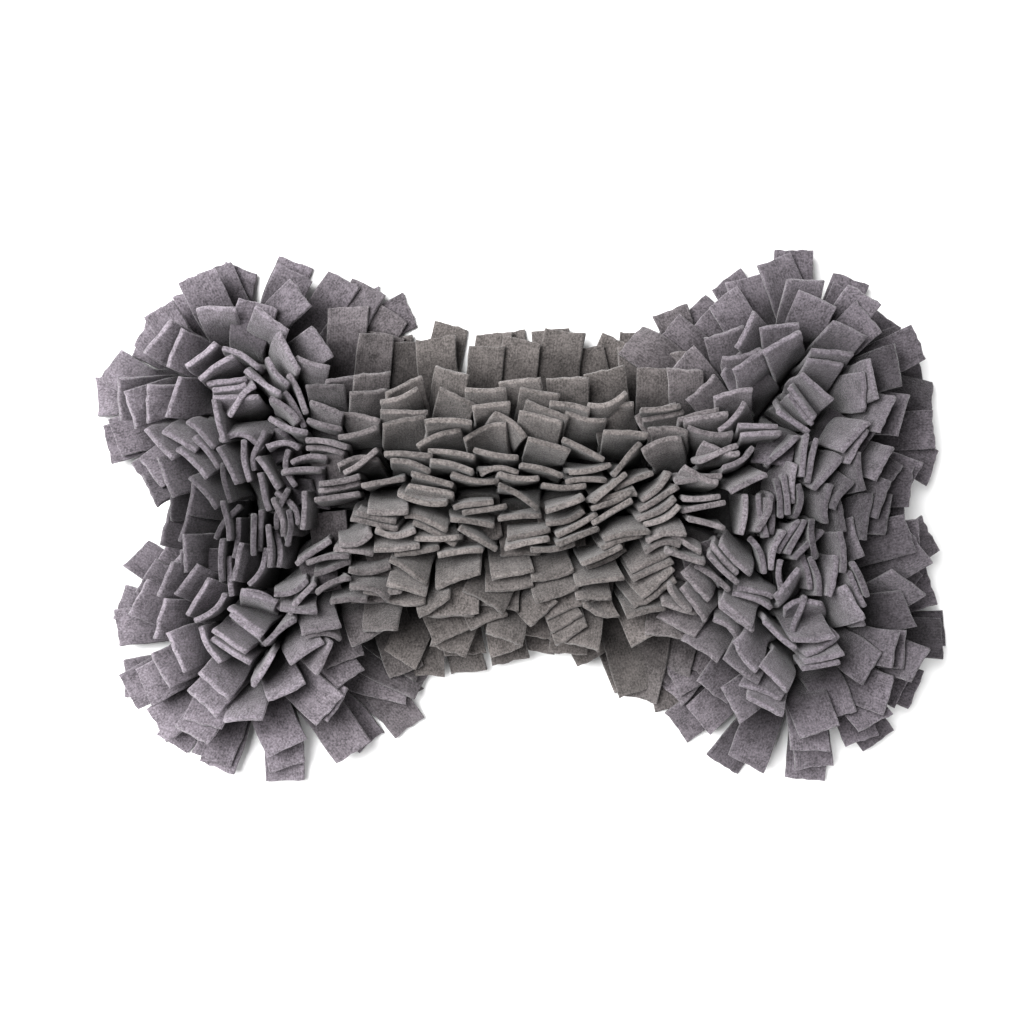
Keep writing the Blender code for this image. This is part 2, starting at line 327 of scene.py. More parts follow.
OVER_SHARES = np.array((0.5, 1.0, 1.0))
FLOPPED_LEANS = np.array((12, 50, 84))  # of a strip that has gone right over
ROW_LATER = 12  # steps of the settling that each row starts after the one outside it
INNER_LATER = 6
FLOPPED_LATER = 30

fringe = []  # every pair of strips, in the order that they are sewn on
dice = np.random.default_rng(11)


def ease(share):
    """Smooth step from 0 to 1."""
    share = min(max(share, 0.0), 1.0)
    return share * share * (3 - 2 * share)


def kinds_of_outline(step=0.002, blend=0.018):
    """How much each place of the outline counts as each of the kinds, evenly blended."""
    names, shares, kinds = [], [], []
    for name, stretch in OUTLINE.items():
        count = round(stretch.length() / step)
        names += [name] * count
        shares += [(number + 0.5) / count for number in range(count)]
        kinds += [[name.endswith(kind) for kind in KINDS]] * count
    kinds = np.array(kinds, float)
    reach = round(blend / step)
    mixed = sum(np.roll(kinds, shift, axis=0) for shift in range(-reach, reach + 1))
    mixed /= 2 * reach + 1
    return {
        name: (
            [share for share, found in zip(shares, names) if found == name],
            mixed[[number for number, found in enumerate(names) if found == name]],
        )
        for name in OUTLINE
    }


class Pair:
    """Two strips of a band that share a fold: one on its outer side, one on its inner side."""

    def __init__(self, spot, outward, mix, row, fold_turn):
        self.spot = spot
        self.outward = outward
        self.facing = outward + fold_turn
        self.mix = mix
        self.row = row
        self.strips = []


def mix_at(name, share):
    """Shares of the kinds at a place of the outline."""
    shares, mixed = KINDS_ALONG[name]
    return np.array([np.interp(share, shares, mixed[:, kind]) for kind in range(len(KINDS))])


def sew_line(names, row, insets, pitches, free_end=0.0):
    """Pairs along one sewn line. No strip is sewn within free_end of either end of it."""
    places = []
    for name in names:
        stretch = OUTLINE[name]
        length = stretch.length()
        for sample in range(SAMPLES):
            share = (sample + 0.5) / SAMPLES
            from_end = min(share, 1 - share) * length
            on_lobe = ease(from_end / INSET_EASE) if stretch.lobe else 0.0
            inset = insets[0] + (insets[1] - insets[0]) * on_lobe
            if stretch.radius_at(inset) < TIGHTEST_FOLD:
                continue
            spot, outward = stretch.at(share, inset)
            pitch = pitches[1] if stretch.lobe else pitches[2] if stretch.hollow else pitches[0]
            on_round = ease(from_end / SHINGLE_EASE) if stretch.lobe else 0.0
            shingle = on_round * math.radians(LOBE_SHINGLE)
            places.append((spot, outward, pitch, mix_at(name, share), shingle))
    spots = np.array([place[0] for place in places])
    gaps = np.linalg.norm(np.diff(spots, axis=0), axis=1)
    gaps = np.concatenate([[0.0], gaps])
    travelled = np.cumsum(gaps)
    count = np.cumsum(gaps / np.array([place[2] for place in places]))
    inside = np.nonzero((travelled >= free_end) & (travelled <= travelled[-1] - free_end))[0]
    first, last = count[inside[0]], count[inside[-1]]
    pairs = max(1, round(last - first))
    sewn = []
    wanted = 0.5
    for number in inside:
        if (count[number] - first) / (last - first) * pairs >= wanted:
            spot, outward, _pitch, mix, shingle = places[number]
            wobble = math.radians(dice.uniform(-FOLD_WOBBLE, FOLD_WOBBLE))
            up = math.copysign(math.pi / 2, spot[1])
            to_up = (up - outward + math.pi) % (2 * math.pi) - math.pi
            lean_way = outward + to_up * NECK_TURN * mix[2]
            fold_turn = shingle + wobble - to_up * NECK_TURN / 2 * mix[2]
            sewn.append(Pair(spot, lean_way, mix, row, fold_turn))
            wanted += 1.0
    return sewn


def near(pair, place):
    """1 where the pair is at a place (x, y, reach), falling smoothly to 0 past its reach."""
    x, y, reach = place
    return math.exp(-((pair.spot[0] - x) ** 2 + (pair.spot[1] - y) ** 2) / reach**2)


def lean_strips(pairs, leans, sway, turned, flopped=0.0):
    """Gives both strips of each pair the way they would lie if nothing were in their way.

    leans are from upright in degrees, near the fold, half way up and at the end, for the outer and the
    inner strip, for each of the kinds. sway is their spread and turned that of the way they lean, in
    degrees. flopped is the share of the strips that have gone right over, on top of the rest.
    """
    leans = np.array(leans, float)
    for pair in pairs:
        both = np.tensordot(pair.mix, leans, axes=1)
        turn = (pair.outward - pair.facing + math.pi) % (2 * math.pi) - math.pi
        turn += math.radians(sum(value * near(pair, place) for *place, value in TURNED_PLACES))
        standing = math.prod(1 - value * near(pair, place) for *place, value in STANDING_PLACES)
        both = both * (standing if pair.row > 0 else 1.0)
        longer = -RIM_SHORTER if pair.row == 0 else 0.0
        over = 0.0
        wider = WAIST_WIDER * (pair.mix[0] + pair.mix[4]) * (pair.row > 1)
        if pair.row == 0:
            for *place, more_length, more_lean, more_turn in RIM_PLACES:
                longer += more_length * near(pair, place)
                over += more_lean * near(pair, place)
                turn += math.radians(more_turn) * near(pair, place)
        for side, lean in zip((1, -1), both):
            lean = lean + dice.normal(0, sway) * SWAY_SHARES
            low, middle, end = lean + over * OVER_SHARES
            begin = pair.row * ROW_LATER + (INNER_LATER if side < 0 else 0)
            if dice.random() < flopped:
                low, middle, end = FLOPPED_LEANS * math.copysign(1, middle + 0.1)
                begin += FLOPPED_LATER
            strip = {
                "side": side,
                "lean": np.radians((0.0, low * 0.6, low * 0.6 + middle * 0.4, end, end * 1.05)),
                "turn": turn + dice.normal(0, math.radians(turned)),
                "twist": dice.normal(0, math.radians(TWIST_SPREAD)),
                "curl": dice.normal(0, CURL_SPREAD),
                "length": STRIP_LENGTH + dice.normal(0, LENGTH_SPREAD) + longer,
                "width": STRIP_WIDTH + dice.normal(0, WIDTH_SPREAD) + wider,
                "shade": dice.normal(0, 1),
                "begin": begin,
            }
            pair.strips.append(strip)
    fringe.extend(pairs)


def fleece_material(name, ribbed):
    """Brushed polar fleece: soft mottled nap, over faint ribs of the knit where it isn't cut."""
    material = bpy.data.materials.new(name)
    material.use_nodes = True
    tree = material.node_tree
    shader = tree.nodes["Principled BSDF"]
    shader.inputs["Roughness"].default_value = 1.0
    shader.inputs["Specular IOR Level"].default_value = 0.1
    shader.inputs["Sheen Weight"].default_value = 0.30
    shader.inputs["Sheen Roughness"].default_value = 0.5
    place = tree.nodes.new("ShaderNodeUVMap")
    place.uv_map = "cloth"
    solid_place = tree.nodes.new("ShaderNodeTexCoord")
    nap = tree.nodes.new("ShaderNodeTexNoise")
    nap.inputs["Scale"].default_value = 700.0
    nap.inputs["Detail"].default_value = 4.0
    nap.inputs["Roughness"].default_value = 0.7
    tree.links.new(solid_place.outputs["Object"], nap.inputs["Vector"])
    patches = tree.nodes.new("ShaderNodeTexNoise")
    patches.inputs["Scale"].default_value = 130.0
    patches.inputs["Detail"].default_value = 2.0
    tree.links.new(solid_place.outputs["Object"], patches.inputs["Vector"])
    ribs = tree.nodes.new("ShaderNodeTexWave")
    ribs.bands_direction = "X"
    ribs.inputs["Scale"].default_value = 180.0
    ribs.inputs["Distortion"].default_value = 5.0
    ribs.inputs["Detail"].default_value = 2.0
    ribs.inputs["Detail Scale"].default_value = 3.0
    tree.links.new(place.outputs["UV"], ribs.inputs["Vector"])
    height = tree.nodes.new("ShaderNodeMix")
    height.inputs["Factor"].default_value = ribbed
    tree.links.new(nap.outputs["Fac"], height.inputs["A"])
    tree.links.new(ribs.outputs["Fac"], height.inputs["B"])
    mottle = tree.nodes.new("ShaderNodeMix")
    mottle.inputs["Factor"].default_value = 0.25
    tree.links.new(height.outputs["Result"], mottle.inputs["A"])
    tree.links.new(patches.outputs["Fac"], mottle.inputs["B"])
    tint = tree.nodes.new("ShaderNodeValToRGB")
    tint.color_ramp.elements[0].position = 0.38
    tint.color_ramp.elements[0].color = FLEECE_DARK
    tint.color_ramp.elements[1].position = 0.62
    tint.color_ramp.elements[1].color = FLEECE_LIGHT
    tree.links.new(mottle.outputs["Result"], tint.inputs["Fac"])
    # Colour attribute of the strips: their own random grey and warmth, times painted light and painted
    # shade. Its alpha marks where a highlight is painted.
    dye_and_painted_light = tree.nodes.new("ShaderNodeAttribute")
    dye_and_painted_light.attribute_name = "dye_and_painted_light"
    dye_and_painted_light_mix = tree.nodes.new("ShaderNodeMix")
    dye_and_painted_light_mix.data_type = "RGBA"
    dye_and_painted_light_mix.blend_type = "MULTIPLY"
    dye_and_painted_light_mix.inputs["Factor"].default_value = 1.0
    tree.links.new(tint.outputs["Color"], dye_and_painted_light_mix.inputs["A"])
    tree.links.new(dye_and_painted_light.outputs["Color"], dye_and_painted_light_mix.inputs["B"])
    # Painted highlight: the colour is made up to a fifth lighter along the sides and cut ends of each
    # strip, where the alpha of the attribute marks them.
    painted_edge_highlight = tree.nodes.new("ShaderNodeMapRange")
    painted_edge_highlight.inputs["From Min"].default_value = 0.55
    painted_edge_highlight.inputs["To Min"].default_value = 1.0
    painted_edge_highlight.inputs["To Max"].default_value = 1.20
    tree.links.new(dye_and_painted_light.outputs["Alpha"], painted_edge_highlight.inputs["Value"])
    lighter = tree.nodes.new("ShaderNodeVectorMath")
    lighter.operation = "SCALE"
    tree.links.new(dye_and_painted_light_mix.outputs["Result"], lighter.inputs[0])
    tree.links.new(painted_edge_highlight.outputs["Result"], lighter.inputs["Scale"])
    tree.links.new(lighter.outputs["Vector"], shader.inputs["Base Color"])
    bump = tree.nodes.new("ShaderNodeBump")
    bump.inputs["Strength"].default_value = 1.0
    bump.inputs["Distance"].default_value = 0.0010
    tree.links.new(height.outputs["Result"], bump.inputs["Height"])
    tree.links.new(bump.outputs["Normal"], shader.inputs["Normal"])
    return material


def make_bands(name, pairs):
    """A piece for these pairs: a grid for the flat band, slit between its strips, thick and rounded."""
    columns = ACROSS * len(pairs)
    rows = 2 * ALONG
    shape = bmesh.new()
    bmesh.ops.create_grid(shape, x_segments=columns - 1, y_segments=rows - 1, size=0.5)
    shape.verts.index_update()
    slits = []
    for face in shape.faces:
        column = min(vertex.index % columns for vertex in face.verts)
        if column % ACROSS == ACROSS - 1:
            slits.append(face)
    bmesh.ops.delete(shape, geom=slits, context="FACES")
    rounding = shape.edges.layers.float.new("bevel_weight_edge")
    for edge in shape.edges:
        from_fold = min(abs(vertex.index // columns - ALONG + 0.5) for vertex in edge.verts)
        if edge.is_boundary and from_fold > ROUNDED_FROM:
            edge[rounding] = 1.0
    mesh = bpy.data.meshes.new(name)
    shape.to_mesh(mesh)
    shape.free()
    mesh.shade_smooth()
    mesh.materials.append(fleece_face)
    mesh.materials.append(fleece_cut)
    bands = bpy.data.objects.new(name, mesh)
    bpy.context.scene.collection.objects.link(bands)
    solid = bands.modifiers.new("thickness", "SOLIDIFY")
    solid.thickness = FLEECE
    solid.offset = 0.0
    solid.material_offset_rim = 1
    rounded = bands.modifiers.new("soft edges", "BEVEL")
    rounded.width = CUT_EDGE_ROUND
    rounded.segments = 3
    rounded.use_clamp_overlap = False
    rounded.limit_method = "WEIGHT"
    bands["pairs"] = len(pairs)
    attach(bands, "root")
    return bands


def nodes_called(*starts):
    """The CAD nodes whose names start so."""
    return [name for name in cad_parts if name.startswith(starts)]


KINDS_ALONG = kinds_of_outline()
fleece_face = fleece_material("grey_fleece", ribbed=0.06)
fleece_cut = fleece_material("grey_fleece_cut", ribbed=0.0)
RIM_LEANS = (  # top of the waist, lobes, necks, ends, bottom of the waist, as KINDS
    ((120, 66, 102), (92, 75, 97)),
    ((120, 66, 102), (92, 75, 96)),
    ((120, 66, 102), (92, 75, 96)),
    ((40, 50, 62), (24, 36, 46)),
    ((110, 62, 98), (80, 68, 90)),
)
rim_pairs = sew_line(WHOLE, 0, RIM_INSETS, RIM_PITCHES)
lean_strips(rim_pairs, RIM_LEANS, sway=5, turned=13)
rim_bands = make_bands("rim_bands", rim_pairs)
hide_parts(*nodes_called("rim_band"))


# Second row of bands, cut from the same fleece and folded in the same way. Its fold is sewn down about
# 16 mm in from the edge of the base. Its strips lie half way over those of the rim.
SECOND_INSETS = (0.0156, 0.0160)
SECOND_PITCHES = (0.027, 0.0200, 0.0255)
SECOND_LEANS = (
    ((28, 48, 60), (18, 32, 42)),
    ((38, 58, 70), (24, 44, 56)),
    ((32, 52, 64), (20, 36, 46)),
    ((10, 18, 25), (5, 11, 15)),
    ((36, 56, 68), (24, 44, 56)),
)
second_pairs = sew_line(WHOLE, 1, SECOND_INSETS, SECOND_PITCHES)
lean_strips(second_pairs, SECOND_LEANS, sway=11, turned=15)
second_bands = make_bands("second_bands", second_pairs)
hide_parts(*nodes_called("second_band"))


# Third row of bands of the same fleece, sewn down another 10 to 12 mm in. Its strips lean outwards a
# little on the lobes and along the waist, and stand nearly upright at the ends.
THIRD_INSETS = (0.0272, 0.0262)
THIRD_PITCHES = (0.029, 0.0205, 0.0265)
THIRD_LEANS = (
    ((10, 20, 28), (6, 14, 20)),
    ((14, 30, 40), (8, 18, 26)),
    ((8, 18, 26), (4, 10, 16)),
    ((3, 7, 10), (0, 3, 6)),
    ((20, 40, 50), (14, 32, 42)),
)
third_pairs = sew_line(WHOLE, 2, THIRD_INSETS, THIRD_PITCHES)
lean_strips(third_pairs, THIRD_LEANS, sway=12, turned=16, flopped=0.08)
third_bands = make_bands("third_bands", third_pairs)
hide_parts(*nodes_called("third_"))


# Middle rows along the waist. Bands of the same fleece sewn down 12 mm apart, whose strips stand packed
# close together, so that mostly their cut ends show. A few have gone right over and lie on top.
MIDDLE_PITCHES = (0.029, 0.02, 0.0275)
MIDDLE_ROWS = (  # stretches, inset, free at each end, leans of the outer and of the inner strip
    (TOP_SIDE, 0.0388, 0.034, (4, 9, 13), (2, 6, 9)),
    (BOTTOM_SIDE, 0.0388, 0.034, (10, 23, 31), (8, 18, 25)),
    (TOP_SIDE, 0.0504, 0.060, (1, 4, 6), (-1, 0, 1)),
    (BOTTOM_SIDE, 0.0504, 0.066, (6, 14, 20), (4, 10, 15)),
    (TOP_SIDE, 0.0620, 0.098, (-2, -5, -7), (-3, -8, -11)),
)
middle_pairs = []
for side, row_inset, row_free, outer_lean, inner_lean in MIDDLE_ROWS:
    row_pairs = sew_line(side, 3, (row_inset, row_inset), MIDDLE_PITCHES, row_free)
    row_leans = ((outer_lean, inner_lean),) * len(KINDS)
    lean_strips(row_pairs, row_leans, sway=10, turned=13, flopped=0.14)
    middle_pairs += row_pairs
middle_bands = make_bands("middle_bands", middle_pairs)
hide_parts(*nodes_called("middle_top", "middle_bottom"))


# End rows. Short bands of the same fleece that follow the hollow at each end of the bone, sewn down
# inside the third row. Their strips stand nearly upright, edge on to the ends of the mat.
END_PITCHES = (0.027, 0.02, 0.027)
END_LEANS = ((2, 7, 11), (0, 2, 4))
END_ROWS = (  # inset from the edge of the base, free at each end of the row
    (0.0388, 0.032),
    (0.0504, 0.052),
    (0.0620, 0.084),
)
end_pairs = []
for end_name in ("left_end", "right_end"):
    for end_inset, end_free in END_ROWS:
        end_pairs += sew_line((end_name,), 3, (end_inset, end_inset), END_PITCHES, end_free)
lean_strips(end_pairs, (END_LEANS,) * len(KINDS), sway=9, turned=13, flopped=0.06)
end_bands = make_bands("end_bands", end_pairs)
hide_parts(*nodes_called("middle_left", "middle_right"))


# Tufts. Three short bands of the same fleece, sewn down across the middle of each round lobe, fill the
# space inside its rings. The two strips of each part a little to either side.
TUFT_OUTWARDS = (0.004, -0.010, -0.023)  # from the centre of the lobe toward its tip
TUFT_LEANS = ((4, 12, 18), (-4, -16, -26))
ALL_LOBE = np.array([float(kind == "lobe") for kind in KINDS])
tuft_pairs = []
for lobe_name, lobe_x, lobe_y in LOBES:
    _point, to_tip = OUTLINE[lobe_name + "_lobe"].at(0.5, 0.0)
    for tuft_outwards in TUFT_OUTWARDS:
        tuft_spot = np.array((lobe_x, lobe_y)) + direction(to_tip) * tuft_outwards
        tuft_pairs.append(Pair(tuft_spot, to_tip, ALL_LOBE, 3, 0.0))
lean_strips(tuft_pairs, (TUFT_LEANS,) * len(KINDS), sway=10, turned=14)
tufts = make_bands("tufts", tuft_pairs)
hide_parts(*nodes_called(*(name + "_tuft" for name, _x, _y in LOBES)))


# How the fringe settles. The strips are started upright on their folds and laid over little by little,
# the rim first, while they keep their size, push one another apart and rest on the base and the floor.
GRID_ACROSS = 7  # points across a strip while it settles
GRID_ALONG = 15
FOLDS_APART = 0.0040
NEIGHBOURS = 0.04  # folds farther apart than this don't meet
FOLD_SHIFT = 1.2  # share of each push that a fold gives way by
FOLD_TURN = 0.6
TINY = 1e-7  # keeps a gap of nothing from being divided by
APART = 0.0052  # between the middles of two layers of fleece, with the air in their nap
APART_FROM_FOLD = ((0, 1, 5), (0.0020, 0.0024, APART))  # points up from the fold, and how far apart there
KEYS = 8  # stages of a strip on its way from upright to its own lean
STEPS = 150
LAST_STEPS = 30
LAID_OVER = 70.0  # steps that each strip takes from upright to its own lean
PULL = 0.12  # toward the strip's own lean at each step
LAST_PULL = 0.03
SAG = 0.00006  # that each step lets a free point sink
STIFF_ALONG = 0.12
STIFF_ACROSS = 0.20
LOOK_PAST = 0.002  # how much farther than APART the neighbours of a point are looked for
PUSH_GAIN = 1.5  # share of the mean of its neighbours' pushes that a point gives way by
PASSES = 2  # of lengths and pushes at each step
LOOK_EVERY = 5  # steps
FLOOR_EVERY = 10
TURN_SOON = 1.6  # the larger, the nearer to its fold a strip has turned all the way
SMOOTHED = 2  # times, once all has settled
SMOOTHING = 0.25
WAIST_REACH = 0.2  # of the straight part of the base, to either side of its middle


def seat_points(spots, facings):
    """Points on both folds' lines of every pair, in the plane of the base."""
    reach = np.linspace(-STRIP_WIDTH / 2, STRIP_WIDTH / 2, GRID_ACROSS)
    local = np.array([(side * FOLD_WIDTH / 2, along) for side in (1, -1) for along in reach])
    normal = np.stack([np.cos(facings), np.sin(facings)], axis=1)
    tangent = np.stack([-np.sin(facings), np.cos(facings)], axis=1)
    return spots[:, None] + local[None, :, :1] * normal[:, None] + local[None, :, 1:] * tangent[:, None]


def part_folds(spots, facings, steps=160, hold=0.02):
    """Shifts and turns the folds a little in the plane, until none crosses another."""
    spots = spots.copy()
    facings = facings.copy()
    first_spots = spots.copy()
    first_facings = facings.copy()
    between = np.linalg.norm(spots[:, None] - spots[None], axis=2)
    one, other = np.nonzero(np.triu(between < NEIGHBOURS, 1))
    for _step in range(steps):
        points = seat_points(spots, facings)
        gap = points[one][:, :, None] - points[other][:, None]
        distance = np.linalg.norm(gap, axis=3) + 1e-9
        overlap = np.clip(FOLDS_APART - distance, 0, None)
        push = gap / distance[..., None] * overlap[..., None] * 0.5
        touching = overlap > 0
        push_one = push.sum(2) / np.maximum(touching.sum(2), 1)[..., None]
        push_other = -push.sum(1) / np.maximum(touching.sum(1), 1)[..., None]
        shift = np.zeros_like(spots)
        turn = np.zeros(len(spots))
        count = np.zeros(len(spots))
        for index, pushes in ((one, push_one), (other, push_other)):
            arm = points[index] - spots[index][:, None]
            np.add.at(shift, index, pushes.sum(1))
            moment = arm[..., 0] * pushes[..., 1] - arm[..., 1] * pushes[..., 0]
            np.add.at(turn, index, moment.sum(1))
            np.add.at(count, index, (np.abs(pushes).sum(2) > 0).sum(1))
        count = np.maximum(count, 1)
        spots += shift / count[:, None] * FOLD_SHIFT
        facings += turn / count / (STRIP_WIDTH**2 / 12) * FOLD_TURN
        spots += (first_spots - spots) * hold
        facings += (first_facings - facings) * hold
    return spots, facings


def strip_shape(pair, strip, share):
    """Points of a strip that has gone this share of the way from upright to its own lean."""
    along = np.linspace(0, 1, GRID_ALONG)
    lean = np.interp(along, STRIP_SHARES, strip["lean"]) * share
    grown = along * along * (3 - 2 * along)
    azimuth = pair.facing + strip["turn"] * share * np.minimum(1, grown * TURN_SOON)
    way = np.stack([np.sin(lean) * np.cos(azimuth), np.sin(lean) * np.sin(azimuth), np.cos(lean)], 1)
    step = strip["length"] / (GRID_ALONG - 1)
    line = np.zeros((GRID_ALONG, 3))
    line[1:] = np.cumsum((way[1:] + way[:-1]) / 2 * step, axis=0)
    start = pair.spot + direction(pair.facing) * strip["side"] * FOLD_WIDTH / 2
    line += np.array((start[0], start[1], FOLD_HEIGHT))
    across = np.stack([-np.sin(azimuth), np.cos(azimuth), np.zeros(GRID_ALONG)], 1)
    normal = np.cross(across, way)
    twist = (strip["twist"] * share * grown)[:, None]
    across = across * np.cos(twist) + normal * np.sin(twist)
    normal = np.cross(across, way)
    place = np.linspace(-0.5, 0.5, GRID_ACROSS)
    flat = line[None] + across[None] * (place * strip["width"])[:, None, None]
    curl = strip["curl"] * share * (1 - 4 * place * place)
    return flat + normal[None] * (curl[:, None] * grown[None])[..., None]


def near_points(points, owner, reach):
    """Pairs of points of different strips that are within reach, found by sorting them into cells."""
    cell = np.floor((points - points.min(0)) / reach).astype(np.int64) + 1
    size = cell.max(0) + 2
    key = (cell[:, 0] * size[1] + cell[:, 1]) * size[2] + cell[:, 2]
    order = np.argsort(key, kind="stable")
    key = key[order]
    offsets = [(0, 0, 0), (0, 0, 1), (0, 1, -1), (0, 1, 0), (0, 1, 1)]
    offsets += [(1, y, z) for y in (-1, 0, 1) for z in (-1, 0, 1)]
    ones, others = [], []
    for x, y, z in offsets:
        offset = (x * size[1] + y) * size[2] + z
        low = np.searchsorted(key, key + offset, "left")
        high = np.searchsorted(key, key + offset, "right")
        if offset == 0:
            low = np.arange(len(key)) + 1
        found = np.maximum(high - low, 0)
        one = np.repeat(np.arange(len(key)), found)
        other = np.arange(found.sum()) - np.repeat(np.cumsum(found) - found, found)
        other += np.repeat(low, found)
        one = order[one]
        other = order[other]
        apart = owner[one] != owner[other]
        one = one[apart]
        other = other[apart]
        gap = points[one] - points[other]
        close = (gap * gap).sum(1) < reach * reach
        ones.append(one[close])
        others.append(other[close])
    return np.concatenate(ones), np.concatenate(others)


def hold_length(first, second, rest, free_first, free_second):
    """Moves two sets of points together or apart until they are the rest length apart."""
    gap = second - first
    distance = np.sqrt((gap * gap).sum(-1, keepdims=True)) + TINY
    move = gap * (1 - rest[..., None] / distance) * 0.5
    first += move * free_first
    second -= move * free_second


def hold_curve(points, goal, axis, stiffness, free):
    """Bends the strips toward the curve of their goal along one axis of their grids."""

    def part(array, start, stop):
        index = [slice(None)] * 4
        index[axis] = slice(start, stop)
        return array[tuple(index)] if array.shape[axis] > 1 else array

    curve = part(points, 2, None) + part(points, None, -2) - 2 * part(points, 1, -1)
    curve -= part(goal, 2, None) + part(goal, None, -2) - 2 * part(goal, 1, -1)
    curve *= stiffness
    part(points, 1, -1)[...] += curve * part(free, 1, -1)
    part(points, 2, None)[...] -= curve * 0.5 * part(free, 2, None)
    part(points, None, -2)[...] -= curve * 0.5 * part(free, None, -2)


def over_base(points):
    """Whether each point is above the base cloth, near enough for the strips that lie on it."""
    x, y = points[..., 0], points[..., 1]
    over = (np.abs(x) < WAIST_REACH) & (y < WAIST_TOP) & (y > WAIST_BOTTOM)
    for _name, lobe_x, lobe_y in LOBES:
        over |= (x - lobe_x) ** 2 + (y - lobe_y) ** 2 < LOBE_RADIUS**2
    return over


def settle(pairs):
    """The grids of all strips once they have pushed one another into place, pair by pair."""
    strips = [(pair, strip) for pair in pairs for strip in pair.strips]
    keys = []
    for key in range(KEYS + 1):
        keys.append([strip_shape(pair, strip, key / KEYS) for pair, strip in strips])
    goals = np.array(keys, np.float32)
    points = goals[0].copy()
    number = len(strips)
    each = np.arange(number)
    lengths = np.array([strip["length"] for _pair, strip in strips], np.float32)
    widths = np.array([strip["width"] for _pair, strip in strips], np.float32)
    step_along = lengths[:, None, None] / (GRID_ALONG - 1)
    step_across = widths[:, None, None] / (GRID_ACROSS - 1)
    diagonal = np.sqrt(step_along**2 + step_across**2)
    begin = np.array([strip["begin"] for _pair, strip in strips])
    owner = np.repeat(each, GRID_ACROSS * GRID_ALONG)
    level_apart = np.interp(np.arange(GRID_ALONG), *APART_FROM_FOLD)
    point_apart = np.tile(level_apart, number * GRID_ACROSS).astype(np.float32)
    free = np.ones((1, 1, GRID_ALONG, 1), np.float32)
    free[:, :, :2] = 0
    point_free = np.tile(free.reshape(-1), number * GRID_ACROSS)
    for step in range(STEPS + LAST_STEPS):
        share = np.clip((step - begin) / LAID_OVER, 0, 1) * KEYS
        key = np.minimum(share.astype(int), KEYS - 1)
        part = (share - key).astype(np.float32)[:, None, None, None]
        goal = goals[key, each] * (1 - part) + goals[key + 1, each] * part
        pull = PULL if step < STEPS else LAST_PULL * (1 - (step - STEPS) / LAST_STEPS)
        points += (goal - points) * pull * free
        points[..., 2] -= SAG * free[..., 0]
        hold_curve(points, goal, 2, STIFF_ALONG, free)
        hold_curve(points, goal, 1, STIFF_ACROSS, free)
        if step % LOOK_EVERY == 0:
            one, other = near_points(points.reshape(-1, 3), owner, APART + LOOK_PAST)
            apart = np.minimum(point_apart[one], point_apart[other])
        if step % FLOOR_EVERY == 0:
            floor = np.where(over_base(points), BASE_THICKNESS + FLEECE / 2, FLEECE / 2)
            floor = floor.astype(np.float32)
        for _again in range(PASSES):
            for odd in (0, 1):
                ends = GRID_ALONG - 1 - (GRID_ALONG - 1 - odd) % 2
                first = (slice(None), slice(None), slice(odd, ends, 2))
                second = (slice(None), slice(None), slice(odd + 1, ends + 1, 2))
                hold_length(points[first], points[second], step_along, free[first], free[second])
            for odd in (0, 1):
                ends = GRID_ACROSS - 1 - (GRID_ACROSS - 1 - odd) % 2
                first = slice(odd, ends, 2)
                second = slice(odd + 1, ends + 1, 2)
                hold_length(points[:, first], points[:, second], step_across, free, free)
                low, high = free[:, :, :-1], free[:, :, 1:]
                hold_length(points[:, first, :-1], points[:, second, 1:], diagonal, low, high)
                hold_length(points[:, first, 1:], points[:, second, :-1], diagonal, high, low)
            flat = points.reshape(-1, 3)
            gap = flat[one] - flat[other]
            distance = np.sqrt((gap * gap).sum(1)) + TINY
            overlap = apart - distance
            touching = overlap > 0
            pushed, pushing = one[touching], other[touching]
            push = gap[touching] * (overlap[touching] / distance[touching] * 0.5)[:, None]
            count = np.bincount(pushed, minlength=len(flat)) + np.bincount(pushing, minlength=len(flat))
            share_of_push = PUSH_GAIN / np.maximum(count, PUSH_GAIN) * point_free
            for axis in range(3):
                move = np.bincount(pushed, push[:, axis], len(flat))
                move -= np.bincount(pushing, push[:, axis], len(flat))
                flat[:, axis] += (move * share_of_push).astype(np.float32)
            low_points = (points[..., 2] < floor) & (free[..., 0] > 0)
            points[..., 2] = np.where(low_points, floor, points[..., 2])
    for _again in range(SMOOTHED):
        bend_across = points[:, 2:] + points[:, :-2] - 2 * points[:, 1:-1]
        points[:, 1:-1] += bend_across * SMOOTHING
        bend_along = points[:, :, 3:] + points[:, :, 1:-2] - 2 * points[:, :, 2:-1]
        points[:, :, 2:-1] += bend_along * SMOOTHING
    return points.reshape(len(pairs), 2, GRID_ACROSS, GRID_ALONG, 3).astype(float)


def finer(coarse, fine):
    """Weights that pass a smooth curve through evenly spaced points and read it at more of them."""
    weights = np.zeros((fine, coarse))
    for row, place in enumerate(np.linspace(0, coarse - 1, fine)):
        first = min(int(place), coarse - 2)
        t = place - first
        four = (
            (first - 1, -0.5 * t + t * t - 0.5 * t**3),
            (first, 1 - 2.5 * t * t + 1.5 * t**3),
            (first + 1, 0.5 * t + 2 * t * t - 1.5 * t**3),
            (first + 2, -0.5 * t * t + 0.5 * t**3),
        )
        for index, weight in four:
            if index < 0:
                weights[row, 0] += 2 * weight
                weights[row, 1] -= weight
            elif index >= coarse:
                weights[row, coarse - 1] += 2 * weight
                weights[row, coarse - 2] -= weight
            else:
                weights[row, index] += weight
    return weights


SNIPS = 9  # places along each side of a strip where its width changes a little
SIDE_WAVE = 0.018  # share of its width
END_SLANT = 0.0011
END_RAGGED = 0.00034
END_POINTS = 4  # points along a strip over which the roughness of its end fades in


